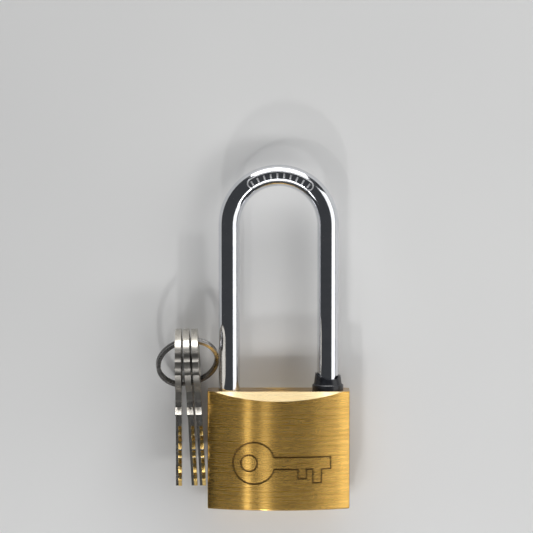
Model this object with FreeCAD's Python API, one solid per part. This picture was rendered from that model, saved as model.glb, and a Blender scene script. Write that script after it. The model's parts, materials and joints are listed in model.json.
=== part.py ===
"""Long-shackle brass padlock with its three keys on a split ring.

The padlock lies on its convex back. X runs across the body, Y runs along the shackle
from the keyway face towards the arch, and Z is up. Lengths are in millimetres.
"""
import FreeCAD, Part
import math
import os

V = FreeCAD.Vector
AXIS_X = V(1, 0, 0)
AXIS_Y = V(0, 1, 0)
AXIS_Z = V(0, 0, 1)

# ---- lock body ----
BODY_W = 40.0            # across, along X
BODY_H = 33.3            # keyway face to top face, along Y
BODY_T = 15.8            # thickness at the middle
FACE_R = 52.0            # radius of the convex front and back
MID_Z = BODY_T / 2       # mid-plane of the lock
TOP_FLAT_HALF = 4.6      # half depth of the flat top face
CHAMFER_DROP = 2.4       # how far the top chamfer comes down the front
EDGE_R = 0.35            # rounding of the body's outer edges

# ---- shackle ----
BAR_R = 3.0
LEG_X = 13.9             # each leg's distance from the middle
ARCH_Y = 80.0            # centre of the arch
HEEL_END_Y = 8.5         # end of the long leg
TOE_END_Y = 22.3         # end of the short leg
LEG_TIP = 0.6            # taper at the end of each leg
LIFT = 14.4              # how far the shackle rises when unlocked
RUN = 0.06               # radial running clearance of the legs and bolts

# ---- bolts ----
BOLT_Y = 28.3            # axis of the cross bore
BOLT_R = 2.75
NOSE_R = 1.8
ENGAGE = 1.0             # how deep a nose stands in its leg
BOLT_SHOULDER_X = 8.5    # inner end of the full round part
BOLT_FACE_X = 10.4       # outer end of the full round part
TAIL_END_X = -0.25
NOTCH_DEPTH = 1.4
NOTCH_BELOW = 4.55       # lower lip of the leg notch, below the bolt axis
NOTCH_ABOVE = 2.1

# ---- plug and cam ----
PLUG_R = 5.0
PLUG_RUN = 0.05
PLUG_END_Y = 23.2
TENON_R = 2.3
TENON_FLAT = 1.7
CAM_R = 4.3
CAM_TOP_Y = 25.2
CAM_PIN_ORBIT = 2.8
CAM_PIN_R = 0.8
CAM_PIN_TOP_Y = 28.0
RING_GROOVE_Y = 21.5     # snap ring between plug and body
RING_THICK = 0.8

# ---- pin stacks ----
PIN_Y = (4.4, 7.7, 11.0, 14.3, 17.6)
PIN_R = 1.3
CHAMBER_R = 1.35
PIN_FLOOR_X = 0.3        # bottom of the key pin holes
DRIVER_X = 5.08          # inner end of the driver pins at the shear line
DRIVER_L = 3.4
KEY_PIN_TOP_X = 4.87
CHAMBER_PLUG_X = 16.8
KEY_CUTS = (0.9, 1.5, 0.6, 1.8, 1.2)

# ---- key ----
BLADE_H = 7.0
KEY_T = 1.7
BLADE_TOP_X = 2.6        # cut edge of the blade, when it is in the plug
BLADE_L = 20.4
BLADE_LEDGE = 3.8        # height at which the blade steps to half its thickness
KEY_TOP_Y = 50.8         # outer end of the bow
SHOULDER_Y = 26.8
BOW_HALF_L = 9.0         # half length of the oval bow, along Y
BOW_HALF_W = 10.4        # half width of the bow, along Z; the keys stand on this edge
BOW_HOLE_R = 2.9
BOW_HOLE_Y = 46.5
KEY_X = (-28.1, -26.0, -23.65)
KEY_LEAN = (0.0, 3.0, 3.0)

# ---- split ring ----
RING_R = 8.4             # middle of the wire
WIRE_W = 1.2
WIRE_T = 0.8
RING_PITCH = 0.85
RING_TURNS = 1.96
RING_TILT = 36.6
RING_ROLL = 11.0
RING_AT = V(-25.7, 40.9, 0.0)

# ---- collar on the short leg ----
COLLAR_R = 4.4
COLLAR_SEAT_R = 3.95
COLLAR_SEAT = 1.5
COLLAR_FLANGE = 1.7      # height of the flange above the body
COLLAR_FIN = 4.9         # height of the inner fin above the body


def mid(x, y, z=0.0):
    """A point given from the lock's mid-plane."""
    return V(x, y, MID_Z + z)


def rod_y(r, y0, y1, x=0.0, z=0.0):
    return Part.makeCylinder(r, y1 - y0, mid(x, y0, z), AXIS_Y)


def rod_x(r, x0, x1, y, z=0.0):
    return Part.makeCylinder(r, x1 - x0, mid(x0, y, z), AXIS_X)


def cone_y(r0, r1, y0, y1, x=0.0):
    return Part.makeCone(r0, r1, y1 - y0, mid(x, y0), AXIS_Y)


def cone_x(r0, r1, x0, x1, y):
    return Part.makeCone(r0, r1, x1 - x0, mid(x0, y), AXIS_X)


def block(x0, x1, y0, y1, z0, z1):
    """A box whose z limits are counted from the mid-plane."""
    return Part.makeBox(x1 - x0, y1 - y0, z1 - z0, mid(x0, y0, z0))


def prism(points, run):
    """A straight prism on a closed polygon."""
    face = Part.Face(Part.makePolygon(points + [points[0]]))
    return face.extrude(run)


def half_turn(shape):
    """The shape turned half round about the lock's centre axis."""
    turned = shape.copy()
    turned.rotate(mid(0, 0), AXIS_Y, 180)
    return turned


def coil(radius, wire_r, pitch, turns):
    """A round-wire spring along +Z from the origin."""
    path = Part.Wire([Part.makeHelix(pitch, pitch * turns, radius)])
    slope = V(0, 2 * math.pi * radius, pitch)
    section = Part.Wire([Part.makeCircle(wire_r, V(radius, 0, 0), slope)])
    return path.makePipeShell([section], True, True)


def turned_to(shape, direction, base):
    """Take a shape built along +Z to another direction and place."""
    moved = shape.copy()
    rotation = FreeCAD.Rotation(AXIS_Z, direction)
    moved.Placement = FreeCAD.Placement(base, rotation).multiply(moved.Placement)
    return moved


# ---- lock body ----
def lens(inset=0.0):
    """The body's plain lens-shaped block, its faces moved in by the inset."""
    radius = FACE_R - inset
    offset = FACE_R - BODY_T / 2
    shape = block(-BODY_W / 2, BODY_W / 2, 0, BODY_H, -BODY_T, BODY_T)
    for side in (-1, 1):
        drum = Part.makeCylinder(radius, BODY_H, mid(0, 0, side * offset), AXIS_Y)
        shape = shape.common(drum)
    return shape


def top_chamfer(side):
    """Wedge that takes the top edge off the front (+1) or the back (-1)."""
    slope = CHAMFER_DROP / (BODY_T / 2 - TOP_FLAT_HALF)
    reach = 3.0
    outer = BODY_T / 2 + reach
    y_low = BODY_H - CHAMFER_DROP - reach * slope
    y_high = BODY_H + slope
    x0 = -BODY_W / 2 - 1
    points = [mid(x0, y_high, side * (TOP_FLAT_HALF - 1)),
              mid(x0, y_low, side * outer),
              mid(x0, y_high, side * outer)]
    return prism(points, V(BODY_W + 2, 0, 0))


def outer_edges(shape):
    """The four long side edges and the rim of the keyway face."""
    picked = []
    for edge in shape.Edges:
        box = edge.BoundBox
        long_edge = box.XLength < 0.01 and box.YLength > 5 and abs(abs(box.XMin) - BODY_W / 2) < 0.01
        rim = box.YMax < 0.01
        if long_edge or rim:
            picked.append(edge)
    return picked


def key_symbol(grow):
    """Outline of a plain key, drawn on the front face, swelled by the grow value."""
    y = 13.4
    far = BODY_T
    shape = Part.makeCylinder(5.9 + grow, far, mid(-6.9, y), AXIS_Z)
    stem = block(-6.9, 14.6 + grow, y - 1.7 - grow, y + 1.7 + grow, 0, far)
    shape = shape.fuse(stem)
    for x0, x1, drop in ((5.4, 7.8, 4.4), (9.6, 12.0, 5.6)):
        tooth = block(x0 - grow, x1 + grow, y - drop - grow, y, 0, far)
        shape = shape.fuse(tooth)
    return shape.removeSplitter()


def front_engraving():
    """Groove that follows the key symbol, with the ring of its eye."""
    half = 0.24
    depth = 0.35
    groove = key_symbol(half).cut(key_symbol(-half))
    eye = Part.makeCylinder(2.3 + half, BODY_T, mid(-8.3, 13.4), AXIS_Z)
    eye = eye.cut(Part.makeCylinder(2.3 - half, BODY_T, mid(-8.3, 13.4), AXIS_Z))
    return groove.fuse(eye).cut(lens(depth))


def make_body():
    shape = lens()
    for side in (-1, 1):
        shape = shape.cut(top_chamfer(side))
    shape = shape.makeFillet(EDGE_R, outer_edges(shape))
    bore_r = BAR_R + RUN
    hollows = [rod_y(bore_r, 2.0, BODY_H + 1, -LEG_X),
               cone_y(bore_r, bore_r + 1.6, BODY_H - 0.4, BODY_H + 1.2, -LEG_X),
               rod_y(bore_r, TOE_END_Y - 0.7, BODY_H + 1, LEG_X),
               rod_y(COLLAR_SEAT_R, BODY_H - COLLAR_SEAT, BODY_H + 1, LEG_X),
               rod_y(PLUG_R + PLUG_RUN, -1, BOLT_Y),
               rod_y(PLUG_R + 0.65, RING_GROOVE_Y, RING_GROOVE_Y + RING_THICK),
               rod_x(BOLT_R + RUN, -LEG_X, BODY_W / 2 + 1, BOLT_Y),
               rod_x(1.0, -BODY_W / 2 - 1, -LEG_X, heel_pin_y())]
    for y in PIN_Y:
        hollows.append(rod_x(CHAMBER_R, 2.0, BODY_W / 2 + 1, y))
    for hollow in hollows:
        shape = shape.cut(hollow)
    return shape.cut(front_engraving())


# ---- shackle ----
def heel_pin_y():
    """The pin that keeps the long leg in sits this far up the body."""
    return HEEL_END_Y + 1.5 + 1.1 + LIFT + 0.2


def leg_notch():
    """Notch for the toe bolt, with a sloping lower lip."""
    x0 = LEG_X - BAR_R
    x1 = x0 + NOTCH_DEPTH
    low = BOLT_Y - NOTCH_BELOW
    points = [mid(x0 - 1, low - 1, -BAR_R - 1),
              mid(x1, low + NOTCH_DEPTH, -BAR_R - 1),
              mid(x1, BOLT_Y + NOTCH_ABOVE, -BAR_R - 1),
              mid(x0 - 1, BOLT_Y + NOTCH_ABOVE, -BAR_R - 1)]
    return prism(points, V(0, 0, 2 * BAR_R + 2))


def heel_track():
    """Slot for the retaining pin, and the groove that lets the open shackle turn."""
    depth = 1.3
    groove_depth = 1.2
    low = HEEL_END_Y + 1.5
    x0 = -LEG_X - BAR_R
    slot = block(x0 - 1, x0 + depth, low, heel_pin_y() + 1.4, -1.3, 1.3)
    ring = rod_y(BAR_R + 1, low, low + 2.4, -LEG_X)
    ring = ring.cut(rod_y(BAR_R - groove_depth, low - 1, low + 4, -LEG_X))
    return slot.fuse(ring)


def arch_point(radius, degrees):
    """A point on the arch, counted clockwise from its top."""
    turn = math.radians(degrees)
    return V(radius * math.sin(turn), ARCH_Y + radius * math.cos(turn), 0)


def arch_band(inner, outer, start, end, height):
    """A flat band along the arch, standing up from the mid-plane."""
    middle = (start + end) / 2
    edges = []
    for radius in (inner, outer):
        arc = Part.Arc(arch_point(radius, start), arch_point(radius, middle), arch_point(radius, end))
        edges.append(arc.toShape())
    for angle in (start, end):
        edges.append(Part.makeLine(arch_point(inner, angle), arch_point(outer, angle)))
    outline = Part.Wire(Part.__sortEdges__(edges))
    face = Part.Face(outline)
    face.translate(V(0, 0, MID_Z))
    return face.extrude(V(0, 0, height))


def obround_band(half_width, start, end, height):
    """An arch band with round ends."""
    shape = arch_band(LEG_X - half_width, LEG_X + half_width, start, end, height)
    for angle in (start, end):
        spot = arch_point(LEG_X, angle)
        cap = Part.makeCylinder(half_width, height, mid(spot.x, spot.y), AXIS_Z)
        shape = shape.fuse(cap)
    return shape.removeSplitter()


def arch_stamp():
    """A shallow border and a row of plain bars on the front of the arch."""
    start, end = -32.0, 37.0
    height = BAR_R + 1
    stamp = obround_band(1.5, start, end, height).cut(obround_band(1.14, start, end, height))
    bars = 10
    step = (end - start) / (bars - 1)
    for index in range(bars):
        angle = start + index * step
        stamp = stamp.fuse(arch_band(LEG_X - 0.7, LEG_X + 0.7, angle - 1.0, angle + 1.0, height))
    depth = 0.2
    core = Part.makeTorus(LEG_X, BAR_R - depth, mid(0, ARCH_Y), AXIS_Z)
    return stamp.cut(core)


def make_shackle():
    section = Part.Face(Part.Wire([Part.makeCircle(BAR_R, mid(LEG_X, ARCH_Y), AXIS_Y)]))
    shape = section.revolve(mid(0, ARCH_Y), AXIS_Z, 180)
    for x, end in ((-LEG_X, HEEL_END_Y), (LEG_X, TOE_END_Y)):
        shape = shape.fuse(rod_y(BAR_R, end + LEG_TIP, ARCH_Y, x))
        shape = shape.fuse(cone_y(BAR_R - LEG_TIP, BAR_R, end, end + LEG_TIP, x))
    shape = shape.removeSplitter()
    for tool in (leg_notch(), half_turn(leg_notch()), heel_track(), arch_stamp()):
        shape = shape.cut(tool)
    return shape


def make_heel_pin():
    return rod_x(1.0, -BODY_W / 2 + 0.1, -LEG_X - BAR_R + 0.95, heel_pin_y())


def make_shackle_spring():
    free = HEEL_END_Y - 0.3 - 2.2
    wire_r = 0.4
    turns = 5.0
    spring = coil(2.2, wire_r, (free - 2 * wire_r) / turns, turns)
    return turned_to(spring, AXIS_Y, mid(-LEG_X, 2.2 + wire_r))


def make_collar():
    """Tapered bush with a flange; its rim rises to a high fin inside and a low one outside."""
    base = BODY_H
    flange_top = base + COLLAR_FLANGE
    shape = rod_y(COLLAR_SEAT_R - 0.02, base - COLLAR_SEAT, base, LEG_X)
    shape = shape.fuse(rod_y(COLLAR_R, base, flange_top - 0.3, LEG_X))
    shape = shape.fuse(cone_y(COLLAR_R, COLLAR_R - 0.3, flange_top - 0.3, flange_top, LEG_X))
    shape = shape.fuse(cone_y(3.95, 3.5, flange_top, base + COLLAR_FIN, LEG_X))
    far = base + COLLAR_FIN + 1
    rim = base + 3.2
    low_fin = base + 4.1
    dip = [mid(LEG_X - 3.4, far, -5), mid(LEG_X - 3.4, far - 1, -5), mid(LEG_X - 2.3, rim + 0.7, -5),
           mid(LEG_X - 0.2, rim, -5), mid(LEG_X + 2.5, rim, -5), mid(LEG_X + 2.9, low_fin, -5),
           mid(LEG_X + 5.0, low_fin, -5), mid(LEG_X + 5.0, far, -5)]
    shape = shape.cut(prism(dip, V(0, 0, 10)))
    return shape.cut(rod_y(BAR_R + RUN, 0, BODY_H * 2, LEG_X))


# ---- bolts, plug and cam ----
def make_toe_bolt():
    """Round bolt; its half-round tail has a slot for the cam pin on the far side."""
    tip = LEG_X - BAR_R + ENGAGE
    shape = rod_x(BOLT_R, TAIL_END_X, BOLT_FACE_X, BOLT_Y)
    shape = shape.cut(block(TAIL_END_X - 1, BOLT_SHOULDER_X, BOLT_Y - 4, BOLT_Y + 4, -0.15, 4))
    shape = shape.fuse(rod_x(NOSE_R, BOLT_FACE_X, tip - ENGAGE, BOLT_Y))
    shape = shape.fuse(cone_x(NOSE_R, NOSE_R - ENGAGE, tip - ENGAGE, tip, BOLT_Y))
    pin_x = CAM_PIN_ORBIT * math.cos(math.radians(45))
    slot = block(pin_x - CAM_PIN_R - 0.15, pin_x + CAM_PIN_R + 0.15, BOLT_Y - 4, BOLT_Y + 4, -4, -0.85)
    return shape.cut(slot)


def make_cam():
    orbit = CAM_PIN_ORBIT * math.cos(math.radians(45))
    shape = rod_y(CAM_R, PLUG_END_Y, CAM_TOP_Y)
    for side in (-1, 1):
        shape = shape.fuse(rod_y(CAM_PIN_R, CAM_TOP_Y - 1, CAM_PIN_TOP_Y, side * orbit, -side * orbit))
    shape = shape.cut(tenon(0.04, PLUG_END_Y - 1, CAM_TOP_Y - 1.0))
    return shape.cut(rod_y(1.8, CAM_TOP_Y - 1.0, CAM_TOP_Y + 4))


def tenon(grow, y0, y1):
    """Round post with two flats that turns the cam."""
    post = rod_y(TENON_R + grow, y0, y1)
    flat = TENON_FLAT + grow
    return post.common(block(-4, 4, y0, y1, -flat, flat))


def blade_outline(grow):
    """Blade section: (height, thickness) points.

    A groove runs down each side, and above the ledge only one side's half is left.
    """
    half = KEY_T / 2 + grow
    web = KEY_T / 2 - 0.45 + grow
    top = BLADE_H + grow
    ledge = BLADE_LEDGE + grow
    inner = 0.05 + grow
    return [(-grow, -half), (1.4 + grow, -half), (1.4 + grow, -web), (2.4 - grow, -web),
            (2.4 - grow, -half), (ledge, -half), (ledge, -inner), (top, -inner),
            (top, half), (3.6 - grow, half), (3.6 - grow, web), (2.9 + grow, web),
            (2.9 + grow, half), (-grow, half)]


def keyway():
    """Slot for the blade, with its wards, open towards -X."""
    back = BLADE_TOP_X - BLADE_H
    points = [mid(back + h, -1, t) for h, t in blade_outline(0.1)]
    slot = prism(points, V(0, BLADE_L + 1.2, 0))
    half = KEY_T / 2 + 0.1
    return slot.fuse(block(-PLUG_R - 1, back, -1, BLADE_L + 0.2, -half, half))


def make_plug():
    shape = rod_y(PLUG_R, 0, PLUG_END_Y)
    shape = shape.fuse(tenon(0, PLUG_END_Y, CAM_TOP_Y - 1.05))
    groove = rod_y(PLUG_R + 1, RING_GROOVE_Y - 0.3, RING_GROOVE_Y + RING_THICK + 0.3)
    shape = shape.cut(groove.cut(rod_y(PLUG_R - 0.7, 0, PLUG_END_Y)))
    shape = shape.cut(keyway())
    for y in PIN_Y:
        shape = shape.cut(rod_x(CHAMBER_R, PIN_FLOOR_X, PLUG_R + 1, y))
    return shape.cut(rod_y(0.95, 21.0, CAM_TOP_Y))


def make_cam_screw():
    shape = rod_y(0.95, 21.1, CAM_TOP_Y - 1.0)
    shape = shape.fuse(rod_y(1.75, CAM_TOP_Y - 1.0, CAM_TOP_Y - 0.1))
    return shape.cut(block(-3, 3, CAM_TOP_Y - 0.55, CAM_TOP_Y, -0.25, 0.25))


def make_plug_ring():
    """Open snap ring that stands in the body's groove and in the plug's."""
    shape = rod_y(PLUG_R + 0.6, RING_GROOVE_Y, RING_GROOVE_Y + RING_THICK)
    shape = shape.cut(rod_y(PLUG_R - 0.4, RING_GROOVE_Y - 1, RING_GROOVE_Y + 2))
    return shape.cut(block(-7, 0, RING_GROOVE_Y - 1, RING_GROOVE_Y + 2, -1.2, 1.2))


def make_cross_plug():
    return rod_x(BOLT_R + RUN - 0.02, LEG_X + BAR_R + 0.3, BODY_W / 2, BOLT_Y)


# ---- pin stacks ----
def make_key_pin(index):
    """Pin with a pointed inner end that stands on the blade's cut."""
    y = PIN_Y[index]
    low = BLADE_TOP_X - KEY_CUTS[index]
    point = 0.8
    bevel = 0.3
    shape = cone_x(PIN_R - point, PIN_R, low, low + point, y)
    shape = shape.fuse(rod_x(PIN_R, low + point, KEY_PIN_TOP_X - bevel, y))
    return shape.fuse(cone_x(PIN_R, PIN_R - bevel, KEY_PIN_TOP_X - bevel, KEY_PIN_TOP_X, y))


def make_driver_pin(index):
    """Waisted pin that crosses the shear line when the key is out."""
    y = PIN_Y[index]
    shape = rod_x(PIN_R, DRIVER_X, DRIVER_X + DRIVER_L, y)
    waist = rod_x(PIN_R + 1, DRIVER_X + 1.2, DRIVER_X + DRIVER_L - 1.2, y)
    return shape.cut(waist.cut(rod_x(PIN_R - 0.25, DRIVER_X, DRIVER_X + DRIVER_L, y)))


def make_pin_spring(index):
    wire_r = 0.16
    start = DRIVER_X + DRIVER_L + 0.05
    turns = 7.0
    pitch = (CHAMBER_PLUG_X - start - 2 * wire_r - 0.1) / turns
    spring = coil(1.0, wire_r, pitch, turns)
    return turned_to(spring, AXIS_X, mid(start + wire_r, PIN_Y[index]))


def make_chamber_plugs():
    return Part.makeCompound([rod_x(CHAMBER_R, CHAMBER_PLUG_X, BODY_W / 2, y) for y in PIN_Y])


# ---- keys and ring ----
def bitting_cut(at, depth, top_z):
    """V notch with a flat floor, from the blade's top edge."""
    floor = 0.45
    y = SHOULDER_Y - at
    over = 1.0
    side = floor + depth + over
    points = [V(-KEY_T, y - floor, top_z - depth), V(-KEY_T, y - side, top_z + over),
              V(-KEY_T, y + side, top_z + over), V(-KEY_T, y + floor, top_z - depth)]
    return prism(points, V(2 * KEY_T, 0, 0))


def oval(half_l, half_w, x0, x1, at_y):
    """An oval disc in the Y-Z plane, its centre at the bow's height."""
    centre = V(x0, at_y, BOW_HALF_W)
    curve = Part.Ellipse(centre + V(0, 0, half_w), centre + V(0, half_l, 0), centre)
    face = Part.Face(Part.Wire([curve.toShape()]))
    return face.extrude(V(x1 - x0, 0, 0))


def bow_blank():
    """Outline of the bow with two finger hollows a side, joined to the flared shoulder."""
    half_t = KEY_T / 2
    bow_y = KEY_TOP_Y - BOW_HALF_L
    shape = oval(BOW_HALF_L, BOW_HALF_W, -half_t, half_t, bow_y)
    hollow_r = 2.6
    for y, depth in ((bow_y + 2.9, 0.55), (bow_y - 2.4, 0.25)):
        edge = BOW_HALF_W * math.sqrt(1 - ((y - bow_y) / BOW_HALF_L) ** 2)
        reach = edge + hollow_r - depth
        for side in (-1, 1):
            spot = V(-KEY_T, y, BOW_HALF_W + side * reach)
            shape = shape.cut(Part.makeCylinder(hollow_r, 2 * KEY_T, spot, AXIS_X))
    profile = [(SHOULDER_Y, 5.4), (SHOULDER_Y + 0.4, 5.4), (SHOULDER_Y + 2.3, 4.0), (bow_y - 5.5, 4.0)]
    points = [V(-half_t, y, BOW_HALF_W + w) for y, w in profile]
    points += [V(-half_t, y, BOW_HALF_W - w) for y, w in reversed(profile)]
    return shape.fuse(prism(points, V(KEY_T, 0, 0))).removeSplitter()


def tip_cut(edge_z, drop):
    """Wedge that bevels the blade's tip from one of its edges; a negative drop cuts upwards."""
    tip = SHOULDER_Y - BLADE_L
    run = abs(drop)
    lead = 1.0 if drop > 0 else -1.0
    points = [V(-KEY_T, tip - 1, edge_z + drop), V(-KEY_T, tip + run + 1, edge_z + lead),
              V(-KEY_T, tip, edge_z - drop), V(-KEY_T, tip - 1, edge_z - drop)]
    return prism(points, V(2 * KEY_T, 0, 0))


def make_key(index):
    """Key standing on edge, built about x = 0, then leaned and moved into its place."""
    low = BOW_HALF_W - BLADE_H / 2
    top = low + BLADE_H
    bow_y = KEY_TOP_Y - BOW_HALF_L
    hole_at = V(0, BOW_HOLE_Y, BOW_HALF_W)
    blade = prism([V(t, SHOULDER_Y, low + h) for h, t in blade_outline(0)], V(0, -BLADE_L, 0))
    shape = bow_blank().fuse(blade)
    for side in (-1, 1):
        face_x = side * KEY_T / 2
        panel = oval(BOW_HALF_L - 2.3, BOW_HALF_W - 2.3, face_x - 0.15, face_x + 0.15, bow_y)
        rim = Part.makeCylinder(BOW_HOLE_R + 1.0, 2.0, hole_at + V(face_x - 1, 0, 0), AXIS_X)
        shape = shape.cut(panel.cut(rim))
    shape = shape.cut(Part.makeCylinder(BOW_HOLE_R, 2 * KEY_T, hole_at - V(KEY_T, 0, 0), AXIS_X))
    for at, depth in zip(PIN_Y, KEY_CUTS):
        shape = shape.cut(bitting_cut(at, depth, top))
    shape = shape.cut(tip_cut(top, 2.6)).cut(tip_cut(low, -1.8))
    shape.rotate(V(0, KEY_TOP_Y, 0), AXIS_Z, KEY_LEAN[index])
    shape.translate(V(KEY_X[index], 0, 0))
    return shape


def make_split_ring():
    """Flat wire wound twice round, tilted so that it stands through the bows."""
    path = Part.Wire([Part.makeHelix(RING_PITCH, RING_PITCH * RING_TURNS, RING_R)])
    x0 = RING_R - WIRE_W / 2
    x1 = RING_R + WIRE_W / 2
    bevel = 0.2
    half = WIRE_T / 2
    points = [V(x0 + bevel, 0, -half), V(x1 - bevel, 0, -half), V(x1, 0, bevel - half),
              V(x1, 0, half - bevel), V(x1 - bevel, 0, half), V(x0 + bevel, 0, half),
              V(x0, 0, half - bevel), V(x0, 0, bevel - half)]
    section = Part.makePolygon(points + [points[0]])
    shape = path.makePipeShell([section], True, True)
    shape.translate(V(0, 0, -RING_PITCH * RING_TURNS / 2))
    shape.rotate(V(0, 0, 0), AXIS_Z, -90)
    shape.rotate(V(0, 0, 0), AXIS_X, RING_TILT)
    shape.rotate(V(0, 0, 0), AXIS_Y, RING_ROLL)
    shape.translate(RING_AT)
    low = shape.optimalBoundingBox().ZMin
    shape.translate(V(0, 0, -low))
    return shape


def main():
    os.makedirs("parts", exist_ok=True)
    toe_bolt = make_toe_bolt()
    parts = {
        "lock_body": make_body(),
        "toe_collar": make_collar(),
        "shackle": make_shackle(),
        "shackle_spring": make_shackle_spring(),
        "heel_retaining_pin": make_heel_pin(),
        "cross_bore_plug": make_cross_plug(),
        "plug": make_plug(),
        "plug_retaining_ring": make_plug_ring(),
        "plug_cam": make_cam(),
        "cam_screw": make_cam_screw(),
        "toe_bolt": toe_bolt,
        "heel_bolt": half_turn(toe_bolt),
        "chamber_plugs": make_chamber_plugs(),
        "split_ring": make_split_ring(),
    }
    for index in range(len(PIN_Y)):
        number = str(index + 1)
        parts["key_pin_" + number] = make_key_pin(index)
        parts["driver_pin_" + number] = make_driver_pin(index)
        parts["pin_spring_" + number] = make_pin_spring(index)
    for index in range(len(KEY_X)):
        parts["key_" + str(index + 1)] = make_key(index)
    for name, shape in parts.items():
        shape.exportStep("parts/" + name + ".step")


main()
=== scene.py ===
import json
import math

import bpy
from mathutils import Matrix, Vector

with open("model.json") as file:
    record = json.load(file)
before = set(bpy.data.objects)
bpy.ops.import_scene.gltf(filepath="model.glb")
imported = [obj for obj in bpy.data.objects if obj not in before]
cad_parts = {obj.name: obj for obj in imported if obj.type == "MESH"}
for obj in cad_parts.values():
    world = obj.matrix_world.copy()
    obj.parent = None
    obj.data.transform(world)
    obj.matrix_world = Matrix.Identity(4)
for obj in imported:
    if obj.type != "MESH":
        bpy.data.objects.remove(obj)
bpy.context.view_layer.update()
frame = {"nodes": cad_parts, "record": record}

nodes = frame["nodes"]

MM = 0.001

# ---------------------------------------------------------------- places on the lock
MID_Z = 7.9 * MM                            # mid-plane of the body and the shackle
FACE_R = 52.0 * MM                          # radius of the convex front face
FACE_CENTRE_Z = 2 * MID_Z - FACE_R          # height of that face's centre line
ENGRAVED_Y = (5.5 * MM, 21.5 * MM)          # reach of the front engraving
ENGRAVED_ABOVE = 12.9 * MM
ARCH_Y = 80.0 * MM                          # centre of the shackle's arch
LEG_X = 13.9 * MM
BAR_R = 3.0 * MM
STAMP_ABOVE_ARCH = 4.0 * MM                 # the stamp starts this far past the arch's centre
CUTS_Z = (11.2 * MM, 13.85 * MM)            # the cuts of a key, above the surface it stands on
CUTS_END_Y = 26.0 * MM
WAIST_START_Y = (30.4 * MM, 31.4 * MM)      # edge of a key painted darker as shade and made rougher, from the shoulder to the rim
WAIST_END_Y = (46.2 * MM, 47.4 * MM)
STAGE_CENTRE = (-3.4 * MM, 48.5 * MM, MID_Z)

# ---------------------------------------------------------------- colours
BRASS_DARK = (0.51, 0.30, 0.070)
BRASS_LIGHT = (0.68, 0.42, 0.112)
BRASS_BRIGHT_LINE = (0.82, 0.53, 0.15)
BRASS_DARK_LINE = (0.38, 0.21, 0.050)
BRASS_CLOUD = (0.46, 0.27, 0.09)
BRASS_CHAMFER_HIGHLIGHT = (0.55, 0.43, 0.24)
BRASS_STAIN = (0.30, 0.19, 0.08)
BRASS_ENGRAVING_SHADE = (0.105, 0.045, 0.018)
CHROME_BRIGHT = (0.79, 0.80, 0.83)
CHROME_HAZY = (0.70, 0.715, 0.75)
CHROME_STAMPED = (0.93, 0.93, 0.94)
PLASTIC = (0.012, 0.013, 0.017)
PLASTIC_SCUFFED = (0.035, 0.038, 0.048)
NICKEL_LIGHT = (0.66, 0.625, 0.56)
NICKEL_DARK = (0.52, 0.49, 0.44)
NICKEL_WORN = (0.30, 0.27, 0.23)
NICKEL_WAIST_SHADE = (0.135, 0.13, 0.12)
CUT_LIGHT = (0.83, 0.60, 0.22)
CUT_DARK = (0.62, 0.40, 0.13)
FLOOR_LIGHT = (0.87, 0.87, 0.86)
FLOOR_DARK = (0.83, 0.83, 0.825)
SKY = (0.72, 0.75, 0.80, 1.0)


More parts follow.
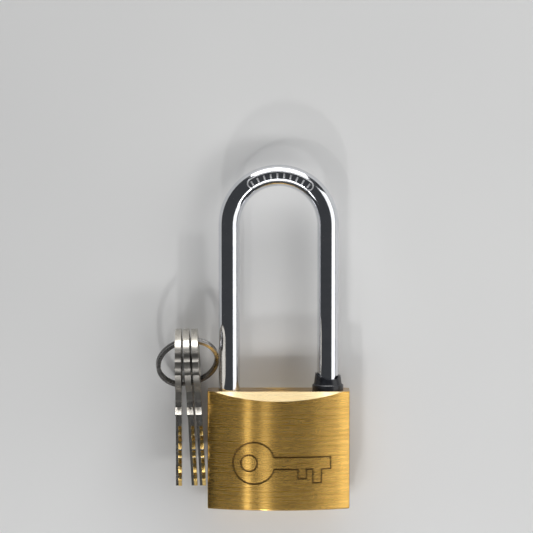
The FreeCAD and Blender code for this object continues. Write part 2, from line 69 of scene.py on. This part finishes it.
# ---------------------------------------------------------------- node helpers
class Graph:
    """A material's node tree, built call by call."""

    SOCKETS = {"color": "Base Color", "metal": "Metallic", "rough": "Roughness", "ior": "IOR",
               "aniso": "Anisotropic", "aniso_turn": "Anisotropic Rotation",
               "coat": "Coat Weight", "coat_rough": "Coat Roughness"}

    def __init__(self, name):
        self.material = bpy.data.materials.new(name)
        self.material.use_nodes = True
        self.tree = self.material.node_tree
        self.tree.nodes.clear()
        output = self.tree.nodes.new("ShaderNodeOutputMaterial")
        self.shader = self.tree.nodes.new("ShaderNodeBsdfPrincipled")
        self.link(self.shader.outputs["BSDF"], output.inputs["Surface"])
        coords = self.tree.nodes.new("ShaderNodeTexCoord")
        self.place = coords.outputs["Object"]
        self.normal = coords.outputs["Normal"]

    def link(self, source, target):
        self.tree.links.new(source, target)

    def feed(self, value, socket):
        """Link an output to the socket, or write a plain value on it."""
        if hasattr(value, "links"):
            self.link(value, socket)
        elif isinstance(value, tuple) and len(value) == 3 and len(socket.default_value) == 4:
            socket.default_value = (*value, 1.0)
        else:
            socket.default_value = value

    def math(self, operation, *values):
        node = self.tree.nodes.new("ShaderNodeMath")
        node.operation = operation
        for socket, value in zip(node.inputs, values):
            self.feed(value, socket)
        return node.outputs[0]

    def plus(self, a, b):
        return self.math("ADD", a, b)

    def minus(self, a, b):
        return self.math("SUBTRACT", a, b)

    def times(self, first, *others):
        for other in others:
            first = self.math("MULTIPLY", first, other)
        return first

    def above(self, value, limit):
        return self.math("GREATER_THAN", value, limit)

    def below(self, value, limit):
        return self.math("LESS_THAN", value, limit)

    def between(self, value, limits):
        return self.times(self.above(value, limits[0]), self.below(value, limits[1]))

    def distance(self, a, b):
        """Distance of a point (a, b) from the origin."""
        return self.math("SQRT", self.plus(self.times(a, a), self.times(b, b)))

    def split(self, vector):
        node = self.tree.nodes.new("ShaderNodeSeparateXYZ")
        self.link(vector, node.inputs[0])
        return node.outputs[0], node.outputs[1], node.outputs[2]

    def combine(self, x, y, z):
        node = self.tree.nodes.new("ShaderNodeCombineXYZ")
        for socket, value in zip(node.inputs, (x, y, z)):
            self.feed(value, socket)
        return node.outputs[0]

    def stretched(self, scale):
        """The place on the object, with a scale of its own along each axis."""
        node = self.tree.nodes.new("ShaderNodeMapping")
        self.link(self.place, node.inputs["Vector"])
        node.inputs["Scale"].default_value = scale
        return node.outputs[0]

    def noise(self, scale, detail, rough, vector=None):
        node = self.tree.nodes.new("ShaderNodeTexNoise")
        self.link(self.place if vector is None else vector, node.inputs["Vector"])
        node.inputs["Scale"].default_value = scale
        node.inputs["Detail"].default_value = detail
        node.inputs["Roughness"].default_value = rough
        return node.outputs[0]

    def ramp(self, value, low, high, out_low=0.0, out_high=1.0):
        node = self.tree.nodes.new("ShaderNodeMapRange")
        node.clamp = True
        self.feed(value, node.inputs[0])
        for socket, number in zip(node.inputs[1:5], (low, high, out_low, out_high)):
            socket.default_value = number
        return node.outputs[0]

    def mix(self, factor, a, b):
        node = self.tree.nodes.new("ShaderNodeMix")
        node.data_type = "RGBA"
        self.feed(factor, node.inputs[0])
        self.feed(a, node.inputs[6])
        self.feed(b, node.inputs[7])
        return node.outputs[2]

    def bump(self, height, strength, distance):
        node = self.tree.nodes.new("ShaderNodeBump")
        node.inputs["Strength"].default_value = strength
        node.inputs["Distance"].default_value = distance
        self.link(height, node.inputs["Height"])
        self.link(node.outputs[0], self.shader.inputs["Normal"])

    def set(self, **values):
        for key, value in values.items():
            self.feed(value, self.shader.inputs[self.SOCKETS[key]])

    def brushed_round_y(self):
        """Turn the anisotropy with the brushing, which runs round the lock's Y axis."""
        node = self.tree.nodes.new("ShaderNodeTangent")
        node.direction_type = "RADIAL"
        node.axis = "Y"
        self.link(node.outputs[0], self.shader.inputs["Tangent"])


# ---------------------------------------------------------------- brushed brass of the body
def brushing(g, across, detail, along_scale, across_scale):
    """Noise drawn out into lines round the Y axis; across is the way that crosses the lines."""
    x, _, z = g.split(g.place)
    lines = g.combine(g.times(x, along_scale), g.times(across, across_scale), g.times(z, along_scale))
    return g.noise(1.0, detail, 0.6, lines)


def engraving_mask(g):
    """1 on the floor and walls of the front engraving, which lie below the convex face."""
    x, y, z = g.split(g.place)
    radius = g.distance(x, g.minus(z, FACE_CENTRE_Z))
    sunk = g.ramp(radius, FACE_R - 0.28 * MM, FACE_R - 0.06 * MM, 1.0, 0.0)
    return g.times(sunk, g.between(y, ENGRAVED_Y), g.above(z, ENGRAVED_ABOVE))


def brushed_brass():
    g = Graph("brushed_brass")
    _, y, z = g.split(g.place)
    _, normal_y, _ = g.split(g.normal)
    on_end_face = g.above(g.math("ABSOLUTE", normal_y), 0.7)
    across = g.math("MULTIPLY_ADD", on_end_face, g.minus(z, y), y)
    fine = brushing(g, across, 4.0, 200.0, 7000.0)
    broad = brushing(g, across, 3.0, 60.0, 1400.0)
    cloud = g.noise(110.0, 3.0, 0.6)

    tone = g.mix(g.ramp(fine, 0.3, 0.7), BRASS_DARK, BRASS_LIGHT)
    tone = g.mix(g.ramp(broad, 0.50, 0.70, 0.0, 0.4), tone, BRASS_BRIGHT_LINE)
    tone = g.mix(g.ramp(broad, 0.30, 0.50, 0.4, 0.0), tone, BRASS_DARK_LINE)
    tone = g.mix(g.ramp(cloud, 0.45, 0.75, 0.0, 0.15), tone, BRASS_CLOUD)
    # the chamfer is coloured a paler, whiter brass: a painted highlight
    on_chamfer = g.between(normal_y, (0.25, 0.9))
    tone = g.mix(on_chamfer, tone, BRASS_CHAMFER_HIGHLIGHT)
    # the engraving's floor and walls are coloured dark brass: painted shade in the recess
    tone = g.mix(g.times(engraving_mask(g), 0.8), tone, BRASS_ENGRAVING_SHADE)

    rough = g.plus(g.ramp(fine, 0.25, 0.75, 0.235, 0.275), g.ramp(broad, 0.35, 0.7, 0.02, 0.0))
    g.set(color=tone, metal=1.0, rough=rough, aniso=1.0, aniso_turn=0.25, coat=0.16, coat_rough=0.18)
    g.brushed_round_y()
    g.bump(broad, 0.25, 0.05 * MM)
    return g.material


# ---------------------------------------------------------------- chrome of the shackle
def stamp_mask(g):
    """1 in the arch's stamped grooves, which lie below the bar's round surface."""
    x, y, z = g.split(g.place)
    past_arch = g.minus(y, ARCH_Y)
    from_bar_line = g.minus(g.distance(x, past_arch), LEG_X)
    depth = g.distance(from_bar_line, g.minus(z, MID_Z))
    sunk = g.ramp(depth, BAR_R - 0.16 * MM, BAR_R - 0.03 * MM, 1.0, 0.0)
    return g.times(sunk, g.above(past_arch, STAMP_ABOVE_ARCH))


def polished_chrome():
    g = Graph("polished_chrome")
    haze = g.noise(240.0, 3.0, 0.6)
    draw_marks = g.noise(1.0, 3.0, 0.6, g.stretched((3200.0, 120.0, 3200.0)))
    stamped = stamp_mask(g)
    tone = g.mix(g.ramp(haze, 0.35, 0.75), CHROME_BRIGHT, CHROME_HAZY)
    tone = g.mix(stamped, tone, CHROME_STAMPED)
    rough = g.plus(g.ramp(haze, 0.4, 0.8, 0.085, 0.13), g.ramp(draw_marks, 0.5, 0.8, 0.0, 0.03))
    rough = g.plus(rough, g.times(stamped, 0.42))
    g.set(color=tone, metal=1.0, rough=rough)
    g.bump(draw_marks, 0.05, 0.02 * MM)
    return g.material


# ---------------------------------------------------------------- nickel and bare cuts of the keys
def key_nickel():
    g = Graph("key_nickel")
    _, y, z = g.split(g.place)
    normal_x, _, _ = g.split(g.normal)
    grain = g.noise(1.0, 3.0, 0.6, g.stretched((2200.0, 420.0, 2200.0)))
    wear = g.noise(520.0, 4.0, 0.65)
    on_edge = g.below(g.math("ABSOLUTE", normal_x), 0.5)

    plate = g.mix(g.ramp(grain, 0.3, 0.75), NICKEL_LIGHT, NICKEL_DARK)
    plate = g.mix(g.ramp(wear, 0.55, 0.8, 0.0, 0.45), plate, NICKEL_WORN)
    # the waist's edge is painted darker, as painted shade, and is made rougher
    past_shoulder = g.ramp(y, *WAIST_START_Y)
    before_rim = g.ramp(y, *WAIST_END_Y, 1.0, 0.0)
    shaded_dull_waist = g.times(on_edge, before_rim, past_shoulder)
    plate = g.mix(g.times(shaded_dull_waist, 0.85), plate, NICKEL_WAIST_SHADE)
    # the cuts were milled after plating, and show bare brass
    bare = g.mix(g.ramp(wear, 0.4, 0.7), CUT_LIGHT, CUT_DARK)
    cut = g.times(on_edge, g.between(z, CUTS_Z), g.below(y, CUTS_END_Y))

    rough = g.plus(g.ramp(wear, 0.3, 0.8, 0.17, 0.33), g.times(shaded_dull_waist, 0.2))
    g.set(color=g.mix(cut, plate, bare), metal=1.0, rough=rough)
    g.bump(grain, 0.10, 0.03 * MM)
    return g.material


# ---------------------------------------------------------------- the other materials
def turned_brass(name, tone_a, tone_b):
    g = Graph(name)
    grain = g.noise(2600.0, 3.0, 0.6)
    spots = g.noise(420.0, 3.0, 0.6)
    tone = g.mix(g.ramp(grain, 0.3, 0.7), tone_a, tone_b)
    tone = g.mix(g.ramp(spots, 0.55, 0.8, 0.0, 0.5), tone, BRASS_STAIN)
    g.set(color=tone, metal=1.0, rough=g.ramp(grain, 0.2, 0.8, 0.26, 0.4))
    g.bump(grain, 0.12, 0.04 * MM)
    return g.material


def black_plastic():
    g = Graph("black_plastic")
    grain = g.noise(1800.0, 3.0, 0.6)
    scuff = g.noise(420.0, 4.0, 0.65)
    tone = g.mix(g.ramp(scuff, 0.5, 0.8), PLASTIC, PLASTIC_SCUFFED)
    g.set(color=tone, metal=0.0, rough=g.ramp(scuff, 0.3, 0.8, 0.22, 0.42), ior=1.5)
    g.bump(grain, 0.12, 0.04 * MM)
    return g.material


def steel(name, light, dark, rough_low, rough_high):
    g = Graph(name)
    grain = g.noise(2400.0, 3.0, 0.6)
    stain = g.noise(360.0, 4.0, 0.6)
    tone = g.mix(g.ramp(stain, 0.35, 0.75), light, dark)
    g.set(color=tone, metal=1.0, rough=g.ramp(stain, 0.3, 0.8, rough_low, rough_high))
    g.bump(grain, 0.10, 0.03 * MM)
    return g.material


def pale_floor():
    g = Graph("pale_floor")
    cloud = g.noise(7.0, 3.0, 0.5)
    g.set(color=g.mix(g.ramp(cloud, 0.3, 0.7), FLOOR_LIGHT, FLOOR_DARK), rough=0.65)
    return g.material


bolt_steel = steel("bolt_steel", (0.56, 0.56, 0.56), (0.40, 0.40, 0.40), 0.25, 0.4)
BY_SLOT = {
    "body_brass": brushed_brass(),
    "shackle_chrome": polished_chrome(),
    "collar_plastic": black_plastic(),
    "key_nickel": key_nickel(),
    "ring_steel": steel("ring_steel", (0.36, 0.35, 0.34), (0.16, 0.155, 0.15), 0.22, 0.38),
    "plug_brass": turned_brass("turned_brass", (0.55, 0.39, 0.17), (0.68, 0.50, 0.24)),
    "pin_brass": turned_brass("pin_brass", (0.60, 0.44, 0.20), (0.72, 0.54, 0.27)),
    "driver_steel": bolt_steel,
    "bolt_steel": bolt_steel,
    "spring_steel": steel("spring_steel", (0.50, 0.50, 0.51), (0.34, 0.34, 0.35), 0.2, 0.35),
}
for row in frame["record"]["subparts"]:
    piece = nodes[row["node"]]
    piece.data.materials.clear()
    piece.data.materials.append(BY_SLOT[row["material_slot"]])


# ---------------------------------------------------------------- floor
def square(name, side, place, material):
    mesh = bpy.data.meshes.new(name)
    half = side / 2
    mesh.from_pydata([(-half, -half, 0), (half, -half, 0), (half, half, 0), (-half, half, 0)],
                     [], [(0, 1, 2, 3)])
    mesh.materials.append(material)
    made = bpy.data.objects.new(name, mesh)
    made.location = place
    bpy.context.scene.collection.objects.link(made)
    return made


FLOOR_SIDE = 3.0
FLOOR_DROP = 0.2 * MM                       # kept just under the parts that rest on it
floor = square("floor", FLOOR_SIDE, (0, 50 * MM, -FLOOR_DROP), pale_floor())


# ---------------------------------------------------------------- lights
def lamp(name, size_x, size_y, angle_x, angle_y, distance, power):
    """A soft panel aimed at the padlock, from these angles off straight up, in degrees."""
    tilt_x, tilt_y = math.radians(angle_x), math.radians(angle_y)
    centre = Vector(STAGE_CENTRE)
    place = centre + Vector((math.tan(tilt_x), math.tan(tilt_y), 1.0)).normalized() * distance
    light = bpy.data.lights.new(name, "AREA")
    light.shape = "RECTANGLE"
    light.size = size_x
    light.size_y = size_y
    light.energy = power
    made = bpy.data.objects.new(name, light)
    made.location = place
    made.rotation_euler = (centre - place).to_track_quat("-Z", "Y").to_euler()
    bpy.context.scene.collection.objects.link(made)


lamp("softbox", 0.80, 0.52, 62.5, 5, 0.66, power=1.75)
lamp("streak_a", 0.020, 0.020, -21.5, -35, 0.75, power=0.33)
lamp("streak_b", 0.016, 0.016, -10.5, -56, 0.30, power=0.14)
lamp("front_panel", 1.40, 0.14, 4, -38, 0.80, power=2.1)
lamp("ramp_panel", 0.30, 0.14, 36, -36, 0.80, power=0.4)
lamp("back_card", 0.9, 0.26, 0, 82, 0.80, power=3.0)
lamp("top_window", 0.9, 0.30, 10, 70, 0.85, power=3.0)

SKY_STRENGTH = 0.07
world = bpy.data.worlds.new("studio")
bpy.context.scene.world = world
world.use_nodes = True
background = world.node_tree.nodes["Background"]
background.inputs["Color"].default_value = SKY
background.inputs["Strength"].default_value = SKY_STRENGTH

# ---------------------------------------------------------------- camera
CAMERA_TILT = math.radians(5.0)             # off straight down
CAMERA_DISTANCE = 0.90
CAMERA_AIM = Vector((-3.4 * MM, 68.2 * MM, MID_Z))
camera_data = bpy.data.cameras.new("camera")
camera_data.sensor_width = 36.0
camera_data.lens = 216.0
camera = bpy.data.objects.new("camera", camera_data)
camera.location = CAMERA_AIM + Vector((0, math.sin(CAMERA_TILT), math.cos(CAMERA_TILT))) * CAMERA_DISTANCE
camera.rotation_euler = (-CAMERA_TILT, 0, 0)
bpy.context.scene.collection.objects.link(camera)
bpy.context.scene.camera = camera
bpy.context.scene.view_settings.view_transform = "Standard"
